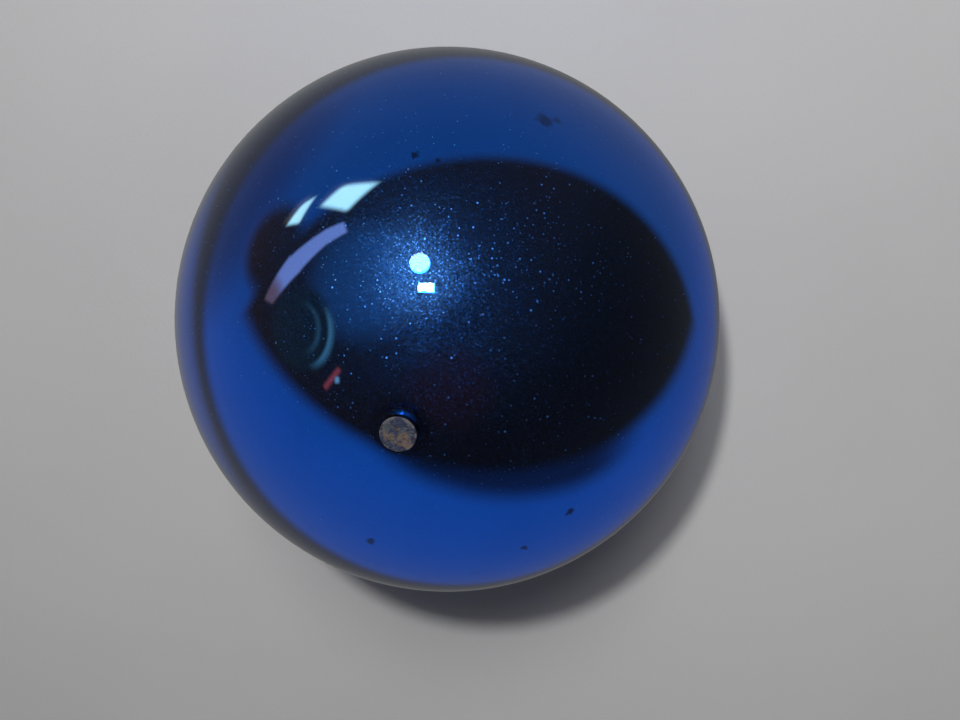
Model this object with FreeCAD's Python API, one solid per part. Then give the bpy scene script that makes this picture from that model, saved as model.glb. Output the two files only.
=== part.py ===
import FreeCAD
import Part
import math
import os

# A silvered ball of blue blown glass with a short cracked-off neck, closed by a plug of cork and putty.
# The ball hangs by its neck, so +Z runs up the neck's axis, and the origin is the ball's lowest point.
# Every piece is a body of revolution about Z, drawn as half a section in the XZ plane. Millimetres.

# Driving dimensions
BALL_DIAMETER = 65.0
GLASS_WALL = 1.2
NECK_DIAMETER = 4.4
NECK_BORE = 2.6
NECK_HEIGHT = 1.0          # from the top of the sphere to the cracked-off rim
NECK_ROOT_FILLET = 0.25    # where the ball's skin runs up into the neck
NECK_RIM_ROUND = 0.1
FILM_THICKNESS = 0.1       # the silver itself is far thinner
FILM_GAP = 0.01            # keeps the film's solid just clear of the glass
FILM_MOUTH_MARGIN = 0.25   # how far short of the bore the film stops
CORK_LENGTH = 3.2
CORK_TAPER = 0.12          # radius lost from the cork's top to its foot
CORK_BEVEL = 0.2
STOPPER_CLEARANCE = 0.05   # radial, between the neck's bore and the plug that slides in it
SEAL_DEPTH = 0.9           # how far the putty goes down the bore
SEAL_HEAD_DIAMETER = 3.9
SEAL_HEAD_HEIGHT = 0.25
SEAL_EDGE_ROUND = 0.11
SEAL_SEAT_GAP = 0.01       # between the head of the seal and the rim it lies on

ball_radius = BALL_DIAMETER / 2
cavity_radius = ball_radius - GLASS_WALL
neck_radius = NECK_DIAMETER / 2
bore_radius = NECK_BORE / 2
ball_centre_z = ball_radius
rim_z = BALL_DIAMETER + NECK_HEIGHT
stopper_radius = bore_radius - STOPPER_CLEARANCE
cork_top_z = rim_z - SEAL_DEPTH


def point(x, z):
    """A point of the half section."""
    return FreeCAD.Vector(x, 0, z)


def line(start, end):
    """A straight edge between two section points."""
    return Part.LineSegment(start, end).toShape()


def arc(start, middle, end):
    """A round edge from start to end, by way of middle."""
    return Part.Arc(start, middle, end).toShape()


def on_sphere(radius, angle):
    """The section point at an angle above the equator, on a sphere about the ball's centre."""
    return point(radius * math.cos(angle), ball_centre_z + radius * math.sin(angle))


def on_circle(centre, radius, angle):
    """The section point at an angle on a circle about centre."""
    return point(centre.x + radius * math.cos(angle), centre.z + radius * math.sin(angle))


def revolved(edges):
    """The solid that a closed half section sweeps about the neck's axis."""
    face = Part.Face(Part.Wire(edges))
    solid = face.revolve(FreeCAD.Vector(0, 0, 0), FreeCAD.Vector(0, 0, 1), 360)
    if not solid.isValid() or solid.Volume <= 0:
        raise ValueError("a section did not sweep into a valid solid")
    return solid


def neck_root():
    """The centre of the root fillet, and the angles at which it meets the sphere and the neck."""
    reach = ball_radius + NECK_ROOT_FILLET
    centre_x = neck_radius + NECK_ROOT_FILLET
    sphere_angle = math.acos(centre_x / reach)
    centre = point(centre_x, ball_centre_z + reach * math.sin(sphere_angle))
    return centre, sphere_angle


def make_glass_ball():
    """The hollow globe and its neck, blown as one piece of glass."""
    root_centre, root_angle = neck_root()
    south = -math.pi / 2
    skin_start = on_sphere(ball_radius, south)
    skin_end = on_sphere(ball_radius, root_angle)
    root_start_turn = root_angle - math.pi
    root_end_turn = -math.pi
    root_middle = on_circle(root_centre, NECK_ROOT_FILLET, (root_start_turn + root_end_turn) / 2)
    neck_foot = point(neck_radius, root_centre.z)
    neck_top = point(neck_radius, rim_z - NECK_RIM_ROUND)
    round_centre = point(neck_radius - NECK_RIM_ROUND, rim_z - NECK_RIM_ROUND)
    rim_middle = on_circle(round_centre, NECK_RIM_ROUND, math.pi / 4)
    rim_outer = point(neck_radius - NECK_RIM_ROUND, rim_z)
    rim_inner = point(bore_radius, rim_z)
    mouth_angle = math.acos(bore_radius / cavity_radius)
    bore_foot = on_sphere(cavity_radius, mouth_angle)
    cavity_bottom = on_sphere(cavity_radius, south)
    return revolved([
        arc(skin_start, on_sphere(ball_radius, 0), skin_end),
        arc(skin_end, root_middle, neck_foot),
        line(neck_foot, neck_top),
        arc(neck_top, rim_middle, rim_outer),
        line(rim_outer, rim_inner),
        line(rim_inner, bore_foot),
        arc(bore_foot, on_sphere(cavity_radius, 0), cavity_bottom),
        line(cavity_bottom, skin_start),
    ])


def make_silver_film():
    """The mirror film that lines the cavity, open where the neck's bore comes through."""
    outer = cavity_radius - FILM_GAP
    inner = outer - FILM_THICKNESS
    south = -math.pi / 2
    mouth_angle = math.acos((bore_radius + FILM_MOUTH_MARGIN) / outer)
    return revolved([
        arc(on_sphere(outer, south), on_sphere(outer, 0), on_sphere(outer, mouth_angle)),
        line(on_sphere(outer, mouth_angle), on_sphere(inner, mouth_angle)),
        arc(on_sphere(inner, mouth_angle), on_sphere(inner, 0), on_sphere(inner, south)),
        line(on_sphere(inner, south), on_sphere(outer, south)),
    ])


def make_cork_stopper():
    """The tapered cork in the bore, under the dried putty."""
    foot_z = cork_top_z - CORK_LENGTH
    foot_radius = stopper_radius - CORK_TAPER
    corners = [
        point(0, foot_z),
        point(foot_radius - CORK_BEVEL, foot_z),
        point(foot_radius, foot_z + CORK_BEVEL),
        point(stopper_radius, cork_top_z),
        point(0, cork_top_z),
    ]
    return revolved([line(a, b) for a, b in zip(corners, corners[1:] + corners[:1])])


def make_seal_cap():
    """The dried putty over the cork: a stem in the bore and a low head spread over the rim."""
    head_radius = SEAL_HEAD_DIAMETER / 2
    head_foot_z = rim_z + SEAL_SEAT_GAP
    head_top_z = head_foot_z + SEAL_HEAD_HEIGHT
    round_centre = point(head_radius - SEAL_EDGE_ROUND, head_top_z - SEAL_EDGE_ROUND)
    edge_start = point(head_radius, round_centre.z)
    edge_end = point(round_centre.x, head_top_z)
    edge_middle = on_circle(round_centre, SEAL_EDGE_ROUND, math.pi / 4)
    return revolved([
        line(point(0, cork_top_z), point(stopper_radius, cork_top_z)),
        line(point(stopper_radius, cork_top_z), point(stopper_radius, head_foot_z)),
        line(point(stopper_radius, head_foot_z), point(head_radius, head_foot_z)),
        line(point(head_radius, head_foot_z), edge_start),
        arc(edge_start, edge_middle, edge_end),
        line(edge_end, point(0, head_top_z)),
        line(point(0, head_top_z), point(0, cork_top_z)),
    ])


PIECES = {
    "glass_ball": make_glass_ball,
    "silver_film": make_silver_film,
    "cork_stopper": make_cork_stopper,
    "seal_cap": make_seal_cap,
}

os.makedirs("parts", exist_ok=True)
for name, make in PIECES.items():
    shape = make()
    shape.exportStep(os.path.join("parts", name + ".step"))
    box = shape.BoundBox
    print(f"{name}: {shape.Volume:.1f} mm3, z {box.ZMin:.2f} to {box.ZMax:.2f}")

root_centre_z = neck_root()[0].z
straight_neck = rim_z - NECK_RIM_ROUND - root_centre_z
print(f"straight neck: z {root_centre_z:.3f} up, {straight_neck:.3f} long")
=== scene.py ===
import math

import bpy
from mathutils import Matrix, Vector, noise


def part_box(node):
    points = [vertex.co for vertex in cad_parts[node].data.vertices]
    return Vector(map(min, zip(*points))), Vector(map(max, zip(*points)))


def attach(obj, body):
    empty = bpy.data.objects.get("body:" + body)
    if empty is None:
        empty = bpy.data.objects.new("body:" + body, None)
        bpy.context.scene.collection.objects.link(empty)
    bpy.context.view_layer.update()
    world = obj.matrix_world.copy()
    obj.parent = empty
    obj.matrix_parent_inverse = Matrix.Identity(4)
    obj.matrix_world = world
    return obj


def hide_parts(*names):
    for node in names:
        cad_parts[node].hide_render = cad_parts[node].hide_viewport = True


# A silvered ball of cobalt blue blown glass with a short, plugged, cracked-off neck.
# Everything is in metres, in the CAD frame: the ball stands on z = 0 and its neck points up +Z.

MM = 0.001

# The ball, neck and plug, as the CAD model has them
WALL = 1.2 * MM
NECK_RADIUS = 2.2 * MM
BORE_RADIUS = 1.3 * MM
ROOT_FILLET = 0.25 * MM
RIM_ROUND = 0.1 * MM
SILVER_THICKNESS = 0.1 * MM
SILVER_MARGIN = 0.25 * MM      # how far short of the bore the silver stops
PLUG_CLEARANCE = 0.05 * MM
CORK_TAPER = 0.12 * MM
CORK_BEVEL = 0.2 * MM
SEAL_SEAT_GAP = 0.01 * MM
SEAL_EDGE_ROUND = 0.11 * MM

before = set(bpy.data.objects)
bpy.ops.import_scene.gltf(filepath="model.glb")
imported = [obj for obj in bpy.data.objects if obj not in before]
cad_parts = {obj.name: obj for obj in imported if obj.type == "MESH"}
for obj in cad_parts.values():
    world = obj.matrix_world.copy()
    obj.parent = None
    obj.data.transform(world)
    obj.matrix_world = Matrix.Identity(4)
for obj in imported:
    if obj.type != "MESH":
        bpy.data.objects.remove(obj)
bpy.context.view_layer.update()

glass_low, glass_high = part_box("glass_ball")
cork_low, cork_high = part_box("cork_stopper")
seal_low, seal_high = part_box("seal_cap")
ball_radius = (glass_high.x - glass_low.x) / 2
centre = Vector((0, 0, glass_low.z + ball_radius))
cavity_radius = ball_radius - WALL
stem_radius = BORE_RADIUS - PLUG_CLEARANCE
rim_z = glass_high.z
seat_z = rim_z + SEAL_SEAT_GAP


def direction(azimuth, elevation):
    """The unit vector at an azimuth from +X and an elevation above level, in degrees."""
    a = math.radians(azimuth)
    e = math.radians(elevation)
    return Vector((math.cos(e) * math.cos(a), math.cos(e) * math.sin(a), math.sin(e)))


# ---------------------------------------------------------------- meshes


def make_piece(name, points, faces, material, smooth=True):
    """A mesh object from points and faces, with one material."""
    mesh = bpy.data.meshes.new(name)
    mesh.from_pydata([tuple(point) for point in points], [], faces)
    mesh.validate()
    mesh.update()
    for polygon in mesh.polygons:
        polygon.use_smooth = smooth
    mesh.materials.append(material)
    piece = bpy.data.objects.new(name, mesh)
    bpy.context.scene.collection.objects.link(piece)
    return piece


def lathe(profile, segments, shift):
    """Points, each moved by shift, and faces of a profile turned about Z, from axis to axis."""
    points = [Vector((0, 0, profile[0][1]))]
    for x, z in profile[1:-1]:
        for step in range(segments):
            turn = 2 * math.pi * step / segments
            points.append(Vector((x * math.cos(turn), x * math.sin(turn), z)))
    points.append(Vector((0, 0, profile[-1][1])))
    last = len(points) - 1
    rings = len(profile) - 2
    faces = []
    for step in range(segments):
        after = (step + 1) % segments
        faces.append((0, 1 + after, 1 + step))
        for ring in range(rings - 1):
            low = 1 + ring * segments
            high = low + segments
            faces.append((low + step, low + after, high + after, high + step))
        top = 1 + (rings - 1) * segments
        faces.append((top + step, top + after, last))
    return [shift(point) for point in points], faces


def arc_profile(centre_x, centre_z, radius, start, end, steps):
    """Profile points along a circle, from one angle to another, in degrees above level."""
    profile = []
    for step in range(steps + 1):
        angle = math.radians(start + (end - start) * step / steps)
        profile.append((centre_x + radius * math.cos(angle), centre_z + radius * math.sin(angle)))
    return profile


def straight_profile(start, end, steps):
    """Profile points along a line, without the first."""
    return [
        (start[0] + (end[0] - start[0]) * step / steps, start[1] + (end[1] - start[1]) * step / steps)
        for step in range(1, steps + 1)
    ]


# ---------------------------------------------------------------- materials


class Nodes:
    """Short calls for building one node tree."""

    def __init__(self, tree):
        self.tree = tree

    def add(self, kind, **settings):
        """A node with its settings."""
        node = self.tree.nodes.new(kind)
        for key, value in settings.items():
            setattr(node, key, value)
        return node

    def feed(self, socket, value):
        """Puts a link or a constant into a socket."""
        if isinstance(value, bpy.types.NodeSocket):
            self.tree.links.new(value, socket)
        else:
            socket.default_value = value

    def math(self, operation, first, second=0.0):
        """One arithmetic step."""
        node = self.add("ShaderNodeMath", operation=operation)
        self.feed(node.inputs[0], first)
        self.feed(node.inputs[1], second)
        return node.outputs[0]

    def times(self, first, second):
        """Two numbers multiplied."""
        return self.math("MULTIPLY", first, second)

    def largest(self, first, *others):
        """The largest of several numbers."""
        for other in others:
            first = self.math("MAXIMUM", first, other)
        return first

    def vector(self, operation, first, second=(0, 0, 0)):
        """One vector step; DOT_PRODUCT, LENGTH and DISTANCE give a number."""
        node = self.add("ShaderNodeVectorMath", operation=operation)
        self.feed(node.inputs[0], first)
        self.feed(node.inputs[1], second)
        return node.outputs["Value" if operation in ("DOT_PRODUCT", "LENGTH", "DISTANCE") else 0]

    def ramp(self, value, low, high, to_low=0.0, to_high=1.0):
        """A smooth step from low to high."""
        node = self.add("ShaderNodeMapRange", interpolation_type="SMOOTHSTEP")
        for socket, number in zip(node.inputs, (value, low, high, to_low, to_high)):
            self.feed(socket, number)
        return node.outputs[0]

    def mix(self, factor, first, second):
        """Two colours mixed."""
        node = self.add("ShaderNodeMix", data_type="RGBA")
        self.feed(node.inputs[0], factor)
        for socket, colour in ((node.inputs[6], first), (node.inputs[7], second)):
            self.feed(socket, colour if isinstance(colour, bpy.types.NodeSocket) else (*colour, 1.0))
        return node.outputs[2]

    def noise(self, position, scale, detail, roughness=0.5, output="Fac"):
        """Fractal noise; scale counts features to the metre."""
        node = self.add("ShaderNodeTexNoise")
        self.feed(node.inputs["Vector"], position)
        node.inputs["Scale"].default_value = scale
        node.inputs["Detail"].default_value = detail
        node.inputs["Roughness"].default_value = roughness
        return node.outputs[output]

    def warped(self, position, scale, detail, reach):
        """The position pushed about by noise, up to half of reach each way."""
        push = self.noise(position, scale, detail, output="Color")
        push = self.vector("SUBTRACT", push, (0.5, 0.5, 0.5))
        return self.vector("ADD", position, self.vector("MULTIPLY", push, (reach, reach, reach)))

    def dots(self, position, scale, radius, share):
        """Round dots in a share of the cells, each with its own radius up to the one given."""
        cells = self.add("ShaderNodeTexVoronoi")
        self.feed(cells.inputs["Vector"], position)
        cells.inputs["Scale"].default_value = scale
        split = self.add("ShaderNodeSeparateColor")
        self.feed(split.inputs[0], cells.outputs["Color"])
        chosen = self.math("LESS_THAN", split.outputs[0], share)
        reach = self.times(split.outputs[1], radius * scale)
        return self.times(self.math("LESS_THAN", cells.outputs["Distance"], reach), chosen)

    def bump(self, height, distance, strength):
        """A normal from a height field, in metres."""
        node = self.add("ShaderNodeBump")
        node.inputs["Strength"].default_value = strength
        node.inputs["Distance"].default_value = distance
        self.feed(node.inputs["Height"], height)
        return node.outputs[0]


def new_material(name):
    """A material's data, its nodes, its shader, and the position on the piece."""
    material = bpy.data.materials.new(name)
    material.use_nodes = True
    nodes = Nodes(material.node_tree)
    shader = material.node_tree.nodes["Principled BSDF"]
    position = nodes.add("ShaderNodeTexCoord").outputs["Object"]
    return material, nodes, shader, position


GLASS_TINT = (0.006, 0.125, 0.80)
GLASS_IOR = 1.5
GLASS_SHINE = (0.12, 0.12, 0.12)   # of the skin's reflection seen square on; the edge keeps all of it
STREAK_DEPTH = 0.93                # of the tint that a streak in the glass lets through
DUST_COLOUR = (0.10, 0.20, 0.45)
DUST_COVER = 0.6                   # how much of the glass a speck of dust hides
DUST_ROUGHNESS = 0.5


def make_glass_material():
    """Cobalt glass: its tint, faint blown streaks, and fine dust on the skin."""
    material, nodes, shader, position = new_material("blue_glass")
    streaks = nodes.noise(position, scale=90.0, detail=4.0)
    deep = tuple(STREAK_DEPTH * part for part in GLASS_TINT)
    tint = nodes.mix(nodes.ramp(streaks, low=0.35, high=0.65), deep, GLASS_TINT)
    dust = nodes.dots(position, scale=1300.0, radius=0.085 * MM, share=0.10)
    tint = nodes.mix(dust, tint, DUST_COLOUR)
    nodes.feed(shader.inputs["Base Color"], tint)
    clear = nodes.math("SUBTRACT", 1.0, nodes.times(dust, DUST_COVER))
    nodes.feed(shader.inputs["Transmission Weight"], clear)
    nodes.feed(shader.inputs["Roughness"], nodes.times(dust, DUST_ROUGHNESS))
    shader.inputs["IOR"].default_value = GLASS_IOR
    shader.inputs["Specular Tint"].default_value = (*GLASS_SHINE, 1.0)
    return material


SILVER_GREY = (0.86, 0.88, 0.90)
SILVER_BRIGHT = (0.92, 0.92, 0.92)
PIT_COLOUR = (0.10, 0.10, 0.12)
PIT_DARKNESS = 0.3
PIT_ROUGHNESS = 0.5
WORN_PLACE = (-108.0, 47.0)      # azimuth and elevation of the middle of the most pitted patch
WORN_REACH = 13.0 * MM
WORN_MIDDLE = 4.0 * MM
WORN_STRENGTH = 0.8
SPARKLE_STRENGTH = 0.8
HAZE_ROUGHNESS = 0.33
HAZE_IOR = 2.2
TARNISH_COLOUR = (0.03, 0.025, 0.02)

# Places on the mirror where the silver has gone: azimuth, elevation, radius and darkness.
# The first is the bare ring round the neck.
TARNISH = (
    (0.0, 90.0, 3.7 * MM, 0.95),
    (-91.7, 19.3, 1.2 * MM, 0.6),
    (-94.0, 17.5, 0.7 * MM, 0.5),
    (-66.7, 37.0, 0.45 * MM, 0.8),
    (-72.1, 37.8, 0.4 * MM, 0.8),
    (97.1, 59.1, 0.7 * MM, 0.75),
    (166.1, 48.5, 0.6 * MM, 0.85),
    (147.5, 48.9, 0.55 * MM, 0.85),
    (60.0, -10.0, 1.1 * MM, 0.8),
    (-150.0, -35.0, 0.9 * MM, 0.8),
)


def on_silver(azimuth, elevation):
    """A point of the mirror, for a node's socket."""
    return tuple(centre + cavity_radius * direction(azimuth, elevation))


def silver_pits(nodes, position):
    """Pinholes all over the silver, crowded together in its most pitted patch."""
    large = nodes.dots(position, scale=1500.0, radius=0.105 * MM, share=0.24)
    small = nodes.dots(position, scale=2900.0, radius=0.06 * MM, share=0.28)
    from_patch = nodes.vector("DISTANCE", position, on_silver(*WORN_PLACE))
    patch = nodes.ramp(from_patch, low=WORN_REACH, high=WORN_MIDDLE)
    crowd = nodes.times(nodes.dots(position, scale=2400.0, radius=0.10 * MM, share=0.45), patch)
    return nodes.largest(large, small, nodes.times(crowd, WORN_STRENGTH))


def silver_colour(nodes, position, pits):
    """Slightly uneven silver with darker pits and ragged tarnished spots."""
    uneven = nodes.noise(position, scale=160.0, detail=4.0)
    colour = nodes.mix(uneven, SILVER_GREY, SILVER_BRIGHT)
    colour = nodes.mix(nodes.times(pits, PIT_DARKNESS), colour, PIT_COLOUR)
    warped = nodes.warped(position, scale=1100.0, detail=4.0, reach=1.6 * MM)
    for azimuth, elevation, radius, darkness in TARNISH:
        distance = nodes.vector("DISTANCE", warped, on_silver(azimuth, elevation))
        spot = nodes.times(nodes.ramp(distance, low=radius, high=0.5 * radius), darkness)
        colour = nodes.mix(spot, colour, TARNISH_COLOUR)
    return colour


def make_silver_material():
    """The mirror: bright silver with pits, tarnish and a speckled haze that lamps set alight."""
    material, nodes, shader, position = new_material("silvering")
    pits = silver_pits(nodes, position)
    nodes.feed(shader.inputs["Base Color"], silver_colour(nodes, position, pits))
    shader.inputs["Metallic"].default_value = 1.0
    nodes.feed(shader.inputs["Roughness"], nodes.times(pits, PIT_ROUGHNESS))
    patches = nodes.noise(position, scale=110.0, detail=2.0)
    patchy = nodes.ramp(patches, low=0.3, high=0.7, to_low=0.6, to_high=1.0)
    sparkle = nodes.dots(position, scale=5200.0, radius=0.09 * MM, share=0.5)
    mist = nodes.noise(position, scale=4200.0, detail=2.0)
    haze = nodes.ramp(mist, low=0.35, high=0.65, to_low=0.06, to_high=0.22)
    haze = nodes.math("ADD", haze, nodes.times(sparkle, SPARKLE_STRENGTH))
    nodes.feed(shader.inputs["Coat Weight"], nodes.times(haze, patchy))
    shader.inputs["Coat Roughness"].default_value = HAZE_ROUGHNESS
    shader.inputs["Coat IOR"].default_value = HAZE_IOR
    return material


CORK_DARK = (0.20, 0.11, 0.05)
CORK_PALE = (0.46, 0.30, 0.16)
CORK_PORE = (0.06, 0.03, 0.015)


def make_cork_material():
    """Old cork: tan with darker pores."""
    material, nodes, shader, position = new_material("cork")
    grain = nodes.noise(position, scale=2200.0, detail=5.0, roughness=0.6)
    colour = nodes.mix(nodes.ramp(grain, low=0.3, high=0.7), CORK_DARK, CORK_PALE)
    pores = nodes.dots(position, scale=2600.0, radius=0.16 * MM, share=0.4)
    colour = nodes.mix(pores, colour, CORK_PORE)
    nodes.feed(shader.inputs["Base Color"], colour)
    dryness = nodes.ramp(grain, low=0.2, high=0.8, to_low=0.75, to_high=0.95)
    nodes.feed(shader.inputs["Roughness"], dryness)
    nodes.feed(shader.inputs["Normal"], nodes.bump(grain, distance=0.15 * MM, strength=0.8))
    return material


PUTTY_DARK = (0.010, 0.020, 0.054)
PUTTY_GREY = (0.038, 0.050, 0.062)
PUTTY_STAIN = (0.115, 0.080, 0.058)
# The next colour is a painted highlight round the edge of the head
PUTTY_RIM_HIGHLIGHT = (0.13, 0.13, 0.14)
PUTTY_CRUMB = (0.13, 0.15, 0.18)
# The next colour is painted shade inside the cracks
PUTTY_CRACK_SHADE = (0.004, 0.005, 0.010)
STAIN_STRENGTH = 0.8
RIM_HIGHLIGHT_STRENGTH = 0.6
CRACK_SHADE_STRENGTH = 0.9
CRACK_LEVEL = 0.47      # cracks follow the line where the coarse noise has this value


def putty_colour(nodes, position, fine):
    """Blue-grey with tan stains, a painted highlight round the edge, pale crumbs and painted shade in
    the cracks.
    """
    smeared = nodes.warped(position, scale=800.0, detail=2.0, reach=1.4 * MM)
    coarse = nodes.noise(smeared, scale=1100.0, detail=3.0, roughness=0.55)
    colour = nodes.mix(nodes.ramp(coarse, low=0.45, high=0.56), PUTTY_DARK, PUTTY_GREY)
    stain = nodes.ramp(nodes.noise(smeared, scale=760.0, detail=2.0), low=0.61, high=0.67)
    colour = nodes.mix(nodes.times(stain, STAIN_STRENGTH), colour, PUTTY_STAIN)
    # A lighter band round the head's edge, broken up by noise: a painted highlight of the rim
    from_axis = nodes.vector("LENGTH", nodes.vector("MULTIPLY", position, (1.0, 1.0, 0.0)))
    edge = nodes.ramp(from_axis, low=1.6 * MM, high=1.9 * MM)
    rim_highlight = nodes.times(edge, nodes.ramp(coarse, low=0.45, high=0.55))
    colour = nodes.mix(nodes.times(rim_highlight, RIM_HIGHLIGHT_STRENGTH), colour, PUTTY_RIM_HIGHLIGHT)
    colour = nodes.mix(nodes.ramp(fine, low=0.56, high=0.70), colour, PUTTY_CRUMB)
    # Near-black lines along the cracks: painted shade inside them
    from_crack = nodes.math("ABSOLUTE", nodes.math("SUBTRACT", coarse, CRACK_LEVEL))
    cracks = nodes.ramp(from_crack, low=0.030, high=0.010)
    cracks = nodes.times(cracks, nodes.ramp(fine, low=0.42, high=0.48))
    return nodes.mix(nodes.times(cracks, CRACK_SHADE_STRENGTH), colour, PUTTY_CRACK_SHADE)


def make_putty_material():
    """Dried putty, crumbly and quite matte."""
    material, nodes, shader, position = new_material("putty")
    fine = nodes.noise(position, scale=4200.0, detail=4.0, roughness=0.65)
    nodes.feed(shader.inputs["Base Color"], putty_colour(nodes, position, fine))
    dryness = nodes.ramp(fine, low=0.2, high=0.8, to_low=0.7, to_high=0.95)
    nodes.feed(shader.inputs["Roughness"], dryness)
    nodes.feed(shader.inputs["Normal"], nodes.bump(fine, distance=0.12 * MM, strength=0.7))
    return material


CLOTH_GREY = (0.60, 0.60, 0.60)
CLOTH_PALE = (0.64, 0.64, 0.635)
CLOTH_ROUGHNESS = 0.9
CLOTH_SHINE = 0.2


def make_floor_material():
    """A pale matte cloth, with a weave too fine to see and a soft unevenness."""
    material, nodes, shader, position = new_material("pale_cloth")
    uneven = nodes.noise(position, scale=14.0, detail=3.0)
    colour = nodes.mix(nodes.ramp(uneven, low=0.3, high=0.7), CLOTH_GREY, CLOTH_PALE)
    nodes.feed(shader.inputs["Base Color"], colour)
    weave = nodes.noise(position, scale=2500.0, detail=2.0)
    nodes.feed(shader.inputs["Normal"], nodes.bump(weave, distance=0.05 * MM, strength=0.5))
    shader.inputs["Roughness"].default_value = CLOTH_ROUGHNESS
    shader.inputs["Specular IOR Level"].default_value = CLOTH_SHINE
    return material


# ---------------------------------------------------------------- pieces

BALL_SEGMENTS = 256
CORK_SEGMENTS = 72
SEAL_SEGMENTS = 120
SKIN_STEPS = 128
LINING_STEPS = 112
WAVE_SIZE = 13.0 * MM
WAVE_HEIGHT = 0.012 * MM
BREAK_SIZE = 0.35 * MM
BREAK_FINE_SIZE = 0.12 * MM
BREAK_DEPTH = 0.05 * MM
SILVER_KEYED = 0.02 * MM      # how far the silver reaches into the glass, so that no gap shows
SOUTH = -90                   # the lowest point of a circle, in degrees above level


def blown(point):
    """Moves a point of the globe a little in or out, as blown glass is never quite round."""
    outward = point - centre
    wave = noise.noise(point / WAVE_SIZE)
    return point + outward.normalized() * wave * WAVE_HEIGHT


def cracked(point):
    """The same, and a rough break on the neck's rim."""
    moved = blown(point)
    if point.z > rim_z - 1.5 * RIM_ROUND:
        rough = noise.noise(point / BREAK_SIZE) + 0.5 * noise.noise(point / BREAK_FINE_SIZE)
        moved.z -= BREAK_DEPTH * abs(rough)
    return moved


def root_fillet():
    """The fillet between ball and neck: its centre, and the angle at which it leaves the ball."""
    reach = ball_radius + ROOT_FILLET
    x = NECK_RADIUS + ROOT_FILLET
    angle = math.acos(x / reach)
    return x, centre.z + reach * math.sin(angle), math.degrees(angle)


def make_globe(material):
    """The glass: outer skin, neck, rim, bore and the inner surface, all one closed mesh."""
    fillet_x, fillet_z, leave = root_fillet()
    mouth = math.degrees(math.acos(BORE_RADIUS / cavity_radius))
    profile = arc_profile(0, centre.z, ball_radius, SOUTH, leave, SKIN_STEPS)
    profile += arc_profile(fillet_x, fillet_z, ROOT_FILLET, leave - 180, -180, steps=8)[1:]
    neck_top = (NECK_RADIUS, rim_z - RIM_ROUND)
    profile += straight_profile((NECK_RADIUS, fillet_z), neck_top, steps=8)
    profile += arc_profile(NECK_RADIUS - RIM_ROUND, neck_top[1], RIM_ROUND, 0, 90, steps=4)[1:]
    profile += straight_profile((NECK_RADIUS - RIM_ROUND, rim_z), (BORE_RADIUS, rim_z), steps=8)
    bore_foot = (BORE_RADIUS, centre.z + cavity_radius * math.sin(math.radians(mouth)))
    profile += straight_profile((BORE_RADIUS, rim_z), bore_foot, steps=10)
    profile += arc_profile(0, centre.z, cavity_radius, mouth, SOUTH, LINING_STEPS)[1:]
    points, faces = lathe(profile, BALL_SEGMENTS, cracked)
    piece = make_piece("globe", points, faces, material)
    # The lamps' light goes through the glass, and the silver casts the ball's shadow
    piece.visible_shadow = False
    return piece


def make_lining(material):
    """The silver: a thin shell keyed into the inner face of the glass, open at the neck's mouth."""
    outer = cavity_radius + SILVER_KEYED
    inner = outer - SILVER_THICKNESS
    mouth = math.degrees(math.acos((BORE_RADIUS + SILVER_MARGIN) / outer))
    outside = arc_profile(0, centre.z, outer, SOUTH, mouth, SKIN_STEPS)
    inside = arc_profile(0, centre.z, inner, mouth, SOUTH, LINING_STEPS)
    points, faces = lathe(outside + inside, BALL_SEGMENTS, blown)
    return make_piece("silvering", points, faces, material)


PIT_SIZE = 0.3 * MM
PIT_FINE_SIZE = 0.11 * MM
PIT_DEPTH = 0.06 * MM


def pitted(point):
    """Moves a point of the cork's side inward, into its pits."""
    pit = abs(noise.noise(point / PIT_SIZE)) + 0.5 * abs(noise.noise(point / PIT_FINE_SIZE))
    inward = Vector((-point.x, -point.y, 0)) / stem_radius
    return point + inward * PIT_DEPTH * pit


def make_cork(material):
    """The tapered cork in the bore, pitted all over."""
    foot_radius = stem_radius - CORK_TAPER
    foot, top = cork_low.z, cork_high.z
    bevel_start = (foot_radius - CORK_BEVEL, foot)
    bevel_end = (foot_radius, foot + CORK_BEVEL)
    profile = [(0, foot)]
    profile += straight_profile((0, foot), bevel_start, steps=8)
    profile += straight_profile(bevel_start, bevel_end, steps=4)
    profile += straight_profile(bevel_end, (stem_radius, top), steps=40)
    profile += straight_profile((stem_radius, top), (0, top), steps=8)
    points, faces = lathe(profile, CORK_SEGMENTS, pitted)
    return make_piece("cork", points, faces, material)


LUMP_SIZE = 0.7 * MM
LUMP_FINE_SIZE = 0.28 * MM
LUMP_FINE_SHARE = 0.6
LUMP_DEPTH = 0.05 * MM
CRACK_SIZE = 0.9 * MM
CRACK_PLACE = Vector((3.1, 7.7, 0))   # which part of the noise the cracks are taken from
CRACK_WIDTH = 0.08
CRACK_DEPTH = 0.12 * MM
BITE_SIZE = 0.8 * MM
BITE_DEPTH = 0.05                     # of the head's radius
HEAD_LEAST = 0.02 * MM                # the thinnest that the head gets


def crumbled(point):
    """Moves a point of the putty's head into its lumps, cracks and chipped edge."""
    if point.z <= seat_z + HEAD_LEAST:
        return point
    lumps = noise.noise(point / LUMP_SIZE) + LUMP_FINE_SHARE * noise.noise(point / LUMP_FINE_SIZE)
    crack = abs(noise.noise(Vector((point.x, point.y, 0)) / CRACK_SIZE + CRACK_PLACE))
    depth = LUMP_DEPTH * (1 + lumps) + CRACK_DEPTH * max(0.0, 1 - crack / CRACK_WIDTH)
    bite = 1 - BITE_DEPTH * abs(noise.noise(point / BITE_SIZE))
    return Vector((point.x * bite, point.y * bite, max(seat_z + HEAD_LEAST, point.z - depth)))


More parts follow.
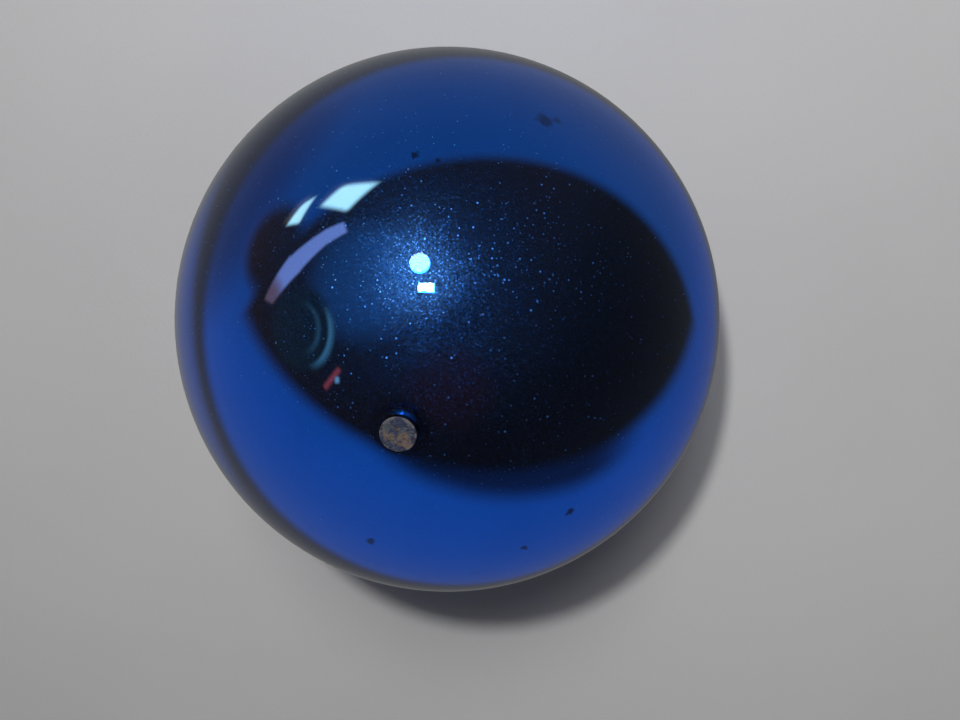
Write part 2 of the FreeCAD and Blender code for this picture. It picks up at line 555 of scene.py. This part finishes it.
def make_seal(material):
    """The dried putty: a stem in the bore and a low, cracked, chipped head over the rim."""
    head_radius = seal_high.x
    foot, top = seal_low.z, seal_high.z
    round_x = head_radius - SEAL_EDGE_ROUND
    round_z = top - SEAL_EDGE_ROUND
    profile = [(0, foot)]
    profile += straight_profile((0, foot), (stem_radius, foot), steps=6)
    profile += straight_profile((stem_radius, foot), (stem_radius, seat_z), steps=8)
    profile += straight_profile((stem_radius, seat_z), (head_radius, seat_z), steps=6)
    profile += straight_profile((head_radius, seat_z), (head_radius, round_z), steps=3)
    profile += arc_profile(round_x, round_z, SEAL_EDGE_ROUND, 0, 90, steps=4)[1:]
    profile += straight_profile((round_x, top), (0, top), steps=30)
    points, faces = lathe(profile, SEAL_SEGMENTS, crumbled)
    return make_piece("seal", points, faces, material)


globe = make_globe(make_glass_material())
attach(globe, "ball")
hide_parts("glass_ball")

lining = make_lining(make_silver_material())
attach(lining, "ball")
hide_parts("silver_film")

cork = make_cork(make_cork_material())
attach(cork, "plug")
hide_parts("cork_stopper")

seal = make_seal(make_putty_material())
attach(seal, "plug")
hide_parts("seal_cap")

# ---------------------------------------------------------------- the set

FLOOR_REACH = 1.5

floor_corners = [
    (-FLOOR_REACH, -FLOOR_REACH, 0),
    (FLOOR_REACH, -FLOOR_REACH, 0),
    (FLOOR_REACH, FLOOR_REACH, 0),
    (-FLOOR_REACH, FLOOR_REACH, 0),
]
floor = make_piece("floor", floor_corners, [(0, 1, 2, 3)], make_floor_material(), smooth=False)
# The ball mirrors the room below, with its own table, in place of this floor
floor.visible_glossy = False
floor.visible_transmission = False

# The camera looks down on the neck's side of the ball, rolled so that the neck is at the lower left
CAMERA_AZIMUTH = -90
CAMERA_ELEVATION = 67.8
CAMERA_DISTANCE = 194.9 * MM
CAMERA_ROLL = 156.3
CAMERA_LENS = 60.4
CAMERA_NEAREST = 1 * MM
AIM_RIGHT = 1.14
AIM_DOWN = 1.415


def view_axes(towards_camera):
    """The camera's right and up, and the way it looks, from where it is, its roll and its aim."""
    neck_lean = (Vector((0, 0, 1)) - towards_camera * towards_camera.z).normalized()
    across = towards_camera.cross(neck_lean)
    roll = math.radians(CAMERA_ROLL)
    right = neck_lean * -math.sin(roll) + across * -math.cos(roll)
    up = across * -math.sin(roll) + neck_lean * math.cos(roll)
    look = -towards_camera + right * math.tan(math.radians(AIM_RIGHT))
    look = (look - up * math.tan(math.radians(AIM_DOWN))).normalized()
    right = (right - look * look.dot(right)).normalized()
    return right, right.cross(look), look


def add_camera():
    """The camera at the photographer's place."""
    data = bpy.data.cameras.new("camera")
    data.lens = CAMERA_LENS
    data.clip_start = CAMERA_NEAREST
    camera = bpy.data.objects.new("camera", data)
    towards_camera = direction(CAMERA_AZIMUTH, CAMERA_ELEVATION)
    right, up, look = view_axes(towards_camera)
    turned = Matrix((right, up, -look)).transposed().to_4x4()
    camera.matrix_world = Matrix.Translation(centre + towards_camera * CAMERA_DISTANCE) @ turned
    bpy.context.scene.collection.objects.link(camera)
    bpy.context.scene.camera = camera


DAYLIGHT = (1.0, 0.985, 0.965)
FLASH_COLOUR = (1.0, 0.87, 1.0)
LAMP_COLOUR = (1.0, 0.86, 1.0)


def add_area(name, shape, azimuth, elevation, distance, size, power, colour):
    """An area light that faces the ball. Sizes and distance are in metres, power in watts."""
    data = bpy.data.lights.new(name, "AREA")
    data.shape = shape
    data.size = size
    data.energy = power
    data.color = colour
    light = bpy.data.objects.new(name, data)
    towards = direction(azimuth, elevation)
    light.location = centre + towards * distance
    light.rotation_euler = towards.to_track_quat("Z", "Y").to_euler()
    bpy.context.scene.collection.objects.link(light)
    return light


def add_lights():
    """Two lights that only shine on things, and two that only the ball's mirror shows."""
    key = add_area("key", "DISK", azimuth=-69, elevation=60.0, distance=0.29,
                   size=0.014, power=0.50, colour=DAYLIGHT)
    soft = add_area("soft", "DISK", azimuth=-74, elevation=52, distance=1.0,
                    size=0.25, power=2.4, colour=DAYLIGHT)
    for light in (key, soft):
        light.visible_camera = False
        light.visible_glossy = False
        light.visible_transmission = False
    flash = add_area("flash", "RECTANGLE", azimuth=-66, elevation=57, distance=1.0,
                     size=0.11, power=8.4, colour=FLASH_COLOUR)
    flash.data.size_y = 0.062
    lamp = add_area("lamp", "DISK", azimuth=-61.5, elevation=47.3, distance=1.0,
                    size=0.135, power=3.5, colour=LAMP_COLOUR)
    for light in (flash, lamp):
        light.visible_camera = False
        light.visible_diffuse = False


# ---------------------------------------------------------------- the room

# Colours of what the mirror shows. The blue glass takes most of their red and green away.
ROOM_DARK = (0.25, 0.017, 0.006)
ROOM_DULL = (0.25, 0.042, 0.020)
ROOM_LIT = (0.50, 0.22, 0.135)
ROOM_RED = (0.90, 0.022, 0.008)
DISC_COLOUR = (0.15, 0.062, 0.022)
DISC_GLINT = (5.0, 1.0, 0.32)
RED_STREAK_COLOUR = (26.0, 0.25, 0.07)
PINK_STREAK_COLOUR = (14.0, 1.9, 0.6)
CURTAIN_COLOUR = (20.0, 1.6, 0.72)
CURTAIN_END_COLOUR = (14.0, 0.5, 0.14)
WINDOW_COLOUR = (75.0, 7.5, 1.6)
TABLE_COLOUR = (0.25, 0.31, 0.255)
TABLE_FAR = (0.38, 0.41, 0.41)
TABLE_DULL = (0.14, 0.14, 0.14)
TABLE_DARK = (0.06, 0.06, 0.06)
FOOT_COLOUR = (0.035, 0.035, 0.035)
HOLLOW_COLOUR = (0.28, 0.28, 0.30)

# Colours of what the skin of the glass shows, of the fill light, and of the backdrop
SKIN_TABLE = (0.30, 0.31, 0.31)
SKIN_TABLE_SHADED = (0.15, 0.15, 0.15)
SKIN_ROOM = (0.16, 0.18, 0.20)
SKIN_ROOM_LIT = (0.50, 0.36, 0.38)
SKIN_WINDOW = (3.0, 3.0, 3.0)
FILL_COLOUR = (0.060, 0.060, 0.068)
BACKDROP_COLOUR = (0.42, 0.42, 0.42)

# Things with straight edges, by the azimuth and elevation of their corners in turn
RED_STREAK = ((27.4, 54.0), (29.8, 55.2), (41.3, 47.1), (39.0, 46.3))
PINK_STREAK = ((33.9, 52.3), (33.8, 54.0), (37.7, 53.6), (37.6, 51.8))
CURTAIN = (
    ((12.8, 14.3), (-5.1, 15.4), (-5.0, 23.7), (12.3, 18.9)),
    ((-2.6, 15.3), (-22.9, 18.8), (-20.6, 24.0), (-2.4, 23.2)),
    ((-20.5, 18.3), (-29.2, 20.3), (-29.2, 25.0), (-18.2, 23.9)),
)
SMALL_WINDOW = ((-9.1, 4.2), (-16.8, 1.8), (-21.5, 2.7), (-13.3, 7.8))
LARGE_WINDOW = ((-22.7, 8.1), (-31.9, 5.0), (-44.4, 9.4), (-31.5, 16.5))

# The foot of the ball on the mirrored table: its middle, and the radius of the dark round it
FOOT_AZIMUTH = 52.3
FOOT_ELEVATION = -57.1
FOOT_RADIUS = 38.2


class Regions:
    """Regions of the room round the ball, told apart by the way a ray looks."""

    def __init__(self, nodes):
        looking = nodes.add("ShaderNodeTexCoord").outputs["Generated"]
        self.nodes = nodes
        self.looking = nodes.vector("NORMALIZE", looking)

    def facing(self, towards):
        """How nearly a ray looks along a direction, as a cosine."""
        return self.nodes.vector("DOT_PRODUCT", self.looking, tuple(towards))

    def cap(self, azimuth, elevation, radius, softness):
        """A round region, 1 inside and 0 outside, in degrees."""
        low = math.cos(math.radians(radius + softness))
        high = math.cos(math.radians(radius - softness))
        return self.nodes.ramp(self.facing(direction(azimuth, elevation)), low, high)

    def without(self, mask, hole):
        """The part of one region that is outside another."""
        return self.nodes.times(mask, self.nodes.math("SUBTRACT", 1.0, hole))

    def pane(self, corners, softness):
        """A region with straight edges, given by its corners in turn."""
        points = [direction(*corner) for corner in corners]
        middle = sum(points, Vector())
        reach = math.sin(math.radians(softness))
        mask = 1.0
        for start, end in zip(points, points[1:] + points[:1]):
            edge = start.cross(end).normalized()
            if edge.dot(middle) < 0:
                edge.negate()
            mask = self.nodes.times(mask, self.nodes.ramp(self.facing(edge), -reach, reach))
        return mask


def disc_glint(nodes, regions):
    """The bright upper edge of the round thing, and a fainter line inside it."""
    disc = regions.cap(azimuth=14.3, elevation=35.5, radius=14.5, softness=2)
    inside = regions.cap(azimuth=14.3, elevation=35.0, radius=13.2, softness=1.0)
    upper = regions.cap(azimuth=14, elevation=49, radius=9, softness=6)
    edge = nodes.times(regions.without(disc, inside), upper)
    wide = regions.cap(azimuth=14.3, elevation=35.0, radius=9.5, softness=1.2)
    narrow = regions.cap(azimuth=14.3, elevation=34.0, radius=8.6, softness=1.2)
    upper_side = regions.cap(azimuth=8, elevation=44, radius=9, softness=6)
    line = nodes.times(regions.without(wide, narrow), upper_side)
    return disc, nodes.largest(edge, nodes.times(line, 0.3))


def paint_room(nodes, regions):
    """The dark room: a lit zone, a red one, a round thing with a bright edge, and two streaks."""
    dull = regions.cap(azimuth=-60, elevation=30, radius=60, softness=40)
    room = nodes.mix(dull, ROOM_DARK, ROOM_DULL)
    lit = regions.cap(azimuth=-26, elevation=46, radius=19, softness=9)
    room = nodes.mix(lit, room, ROOM_LIT)
    red = regions.cap(azimuth=165, elevation=78, radius=12, softness=10)
    room = nodes.mix(nodes.times(red, 0.9), room, ROOM_RED)
    disc, glint = disc_glint(nodes, regions)
    room = nodes.mix(disc, room, DISC_COLOUR)
    room = nodes.mix(glint, room, DISC_GLINT)
    room = nodes.mix(regions.pane(RED_STREAK, softness=1.0), room, RED_STREAK_COLOUR)
    return nodes.mix(regions.pane(PINK_STREAK, softness=0.8), room, PINK_STREAK_COLOUR)


def paint_table(nodes, regions):
    """The pale table, brightest on the far side, with the dark and the hollow under the ball."""
    far = regions.cap(azimuth=95, elevation=-20, radius=75, softness=22)
    table = nodes.mix(far, TABLE_COLOUR, TABLE_FAR)
    dull = regions.cap(azimuth=4, elevation=-30, radius=18, softness=16)
    table = nodes.mix(dull, table, TABLE_DULL)
    foot = regions.cap(FOOT_AZIMUTH, FOOT_ELEVATION, FOOT_RADIUS, softness=5)
    table = nodes.mix(foot, table, FOOT_COLOUR)
    hollow = regions.cap(azimuth=50, elevation=-45, radius=14, softness=7)
    table = nodes.mix(hollow, table, HOLLOW_COLOUR)
    dark = regions.cap(azimuth=140, elevation=30, radius=42, softness=14)
    near = regions.cap(azimuth=75, elevation=-32, radius=80, softness=7)
    return nodes.mix(regions.without(dark, near), table, TABLE_DARK)


def table_region(nodes, regions):
    """Where the table is, less a dark thing that stands in front of its edge."""
    far = regions.cap(azimuth=93, elevation=-25, radius=76, softness=5)
    near = regions.cap(azimuth=-16, elevation=-63, radius=74.5, softness=3.5)
    thing = regions.cap(azimuth=-1, elevation=5.5, radius=13, softness=4)
    return regions.without(nodes.largest(far, near), thing)


def paint_skin(nodes, regions, on_table, windows):
    """What the skin mirrors: a plainer table and room, and the windows."""
    shaded = regions.cap(azimuth=150, elevation=-30, radius=55, softness=30)
    table = nodes.mix(shaded, SKIN_TABLE, SKIN_TABLE_SHADED)
    lit = regions.cap(azimuth=-40, elevation=30, radius=78, softness=22)
    room = nodes.mix(lit, SKIN_ROOM, SKIN_ROOM_LIT)
    skin = nodes.mix(on_table, room, table)
    return nodes.mix(windows, skin, SKIN_WINDOW)


def make_world():
    """The room round the ball: what its mirror shows, what its skin shows, and a soft pale fill."""
    world = bpy.data.worlds.new("room")
    world.use_nodes = True
    world.cycles.sampling_method = "NONE"
    bpy.context.scene.world = world
    nodes = Nodes(world.node_tree)
    regions = Regions(nodes)

    on_table = table_region(nodes, regions)
    room = nodes.mix(on_table, paint_room(nodes, regions), paint_table(nodes, regions))
    strip = nodes.largest(*[regions.pane(corners, softness=0.9) for corners in CURTAIN])
    strip_end = regions.cap(azimuth=12, elevation=16, radius=6, softness=4)
    room = nodes.mix(strip, room, nodes.mix(strip_end, CURTAIN_COLOUR, CURTAIN_END_COLOUR))
    small_window = regions.pane(SMALL_WINDOW, softness=1.0)
    windows = nodes.largest(small_window, regions.pane(LARGE_WINDOW, softness=1.4))
    room = nodes.mix(windows, room, WINDOW_COLOUR)
    skin = paint_skin(nodes, regions, on_table, windows)

    # A ray that comes out through the glass has met the mirror; one off the skin has not
    path = nodes.add("ShaderNodeLightPath")
    seen = nodes.mix(path.outputs["Is Transmission Ray"], skin, room)
    seen = nodes.mix(path.outputs["Is Diffuse Ray"], seen, FILL_COLOUR)
    seen = nodes.mix(path.outputs["Is Camera Ray"], seen, BACKDROP_COLOUR)
    nodes.feed(world.node_tree.nodes["Background"].inputs["Color"], seen)


add_camera()
add_lights()
make_world()
bpy.context.scene.view_settings.view_transform = "Standard"
